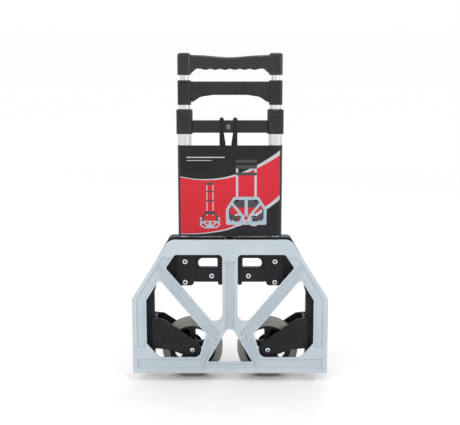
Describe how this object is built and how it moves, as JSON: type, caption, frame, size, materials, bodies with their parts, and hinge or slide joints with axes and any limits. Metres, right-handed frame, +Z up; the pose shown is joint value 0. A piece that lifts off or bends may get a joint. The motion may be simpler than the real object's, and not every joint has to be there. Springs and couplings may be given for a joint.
{
  "type": "folding hand truck",
  "caption": "Folded hand truck with a ribbed toe plate, wheels on arms that swing out behind, and a telescopic handle.",
  "frame": {"origin": "on the floor under the middle of the folded truck, which stands upright on its wheels", "axes": "+X to the right of someone facing the toe plate, +Y away from them towards the back, +Z up along the tubes"},
  "size_m": [0.48, 0.088, 0.8],
  "materials": {
    "tyre": "warm grey rubber",
    "black_plastic": "fine grain",
    "handle_plastic": "satin",
    "nylon": "natural nylon",
    "zinc": "zinc plated",
    "tube_aluminium": "bright anodised",
    "toe_finish": "pale blue-grey satin coat",
    "cord": "braided sleeve",
    "card": "coated printed card"
  },
  "bodies": {
    "frame": {"base_bracket": "black_plastic", "bungee_cord": "cord", "card_sleeve": "card", "cord_anchor": "zinc", "left_bracket_screws": "zinc", "left_cord_hook": "black_plastic", "left_hinge_pin": "zinc", "left_hinge_washer": "nylon", "left_outer_top_bush": "nylon", "left_outer_tube": "tube_aluminium", "left_pivot_pin": "zinc", "left_pivot_washers": "nylon", "left_side_leg": "black_plastic", "low_crossbar": "black_plastic", "right_bracket_screws": "zinc", "right_cord_hook": "black_plastic", "right_hinge_pin": "zinc", "right_hinge_washer": "nylon", "right_outer_top_bush": "nylon", "right_outer_tube": "tube_aluminium", "right_pivot_pin": "zinc", "right_pivot_washers": "nylon", "right_side_leg": "black_plastic"},
    "middle_stage": {"high_crossbar": "black_plastic", "left_middle_foot_bush": "nylon", "left_middle_top_bush": "nylon", "left_middle_tube": "tube_aluminium", "right_middle_foot_bush": "nylon", "right_middle_top_bush": "nylon", "right_middle_tube": "tube_aluminium"},
    "inner_stage": {"handle": "handle_plastic", "left_inner_foot_bush": "nylon", "left_inner_tube": "tube_aluminium", "right_inner_foot_bush": "nylon", "right_inner_tube": "tube_aluminium"},
    "toe": {"toe_plate": "toe_finish"},
    "left_arm": {"left_axle": "zinc", "left_axle_nut": "zinc", "left_axle_spacers": "zinc", "left_wheel_fork": "black_plastic"},
    "left_wheel": {"left_rim": "black_plastic", "left_tyre": "tyre", "left_wheel_bush": "nylon"},
    "right_arm": {"right_axle": "zinc", "right_axle_nut": "zinc", "right_axle_spacers": "zinc", "right_wheel_fork": "black_plastic"},
    "right_wheel": {"right_rim": "black_plastic", "right_tyre": "tyre", "right_wheel_bush": "nylon"}
  },
  "joints": [
    {"name": "toe_fold", "type": "hinge", "parent": "frame", "child": "toe", "pos_m": [0, 0, 0.044], "axis": [1, 0, 0], "range_deg": [0, 90]},
    {"name": "left_arm_swing", "type": "hinge", "parent": "frame", "child": "left_arm", "pos_m": [-0.198, 0, 0.118], "axis": [0, 0, 1], "range_deg": [0, 90]},
    {"name": "right_arm_swing", "type": "hinge", "parent": "frame", "child": "right_arm", "pos_m": [0.198, 0, 0.118], "axis": [0, 0, 1], "range_deg": [-90, 0]},
    {"name": "left_wheel_spin", "type": "hinge", "parent": "left_arm", "child": "left_wheel", "pos_m": [-0.0935, 0, 0.075], "axis": [0, 1, 0], "continuous": true},
    {"name": "right_wheel_spin", "type": "hinge", "parent": "right_arm", "child": "right_wheel", "pos_m": [0.0935, 0, 0.075], "axis": [0, 1, 0], "continuous": true},
    {"name": "middle_stage_slide", "type": "slide", "parent": "frame", "child": "middle_stage", "axis": [0, 0, 1], "range_m": [0, 0.16]},
    {"name": "inner_stage_slide", "type": "slide", "parent": "middle_stage", "child": "inner_stage", "axis": [0, 0, 1], "range_m": [0, 0.16]}
  ],
  "couplings": [
    {"joint": "left_arm_swing", "follows": "toe_fold", "ratio": 1},
    {"joint": "right_arm_swing", "follows": "toe_fold", "ratio": -1}
  ]
}
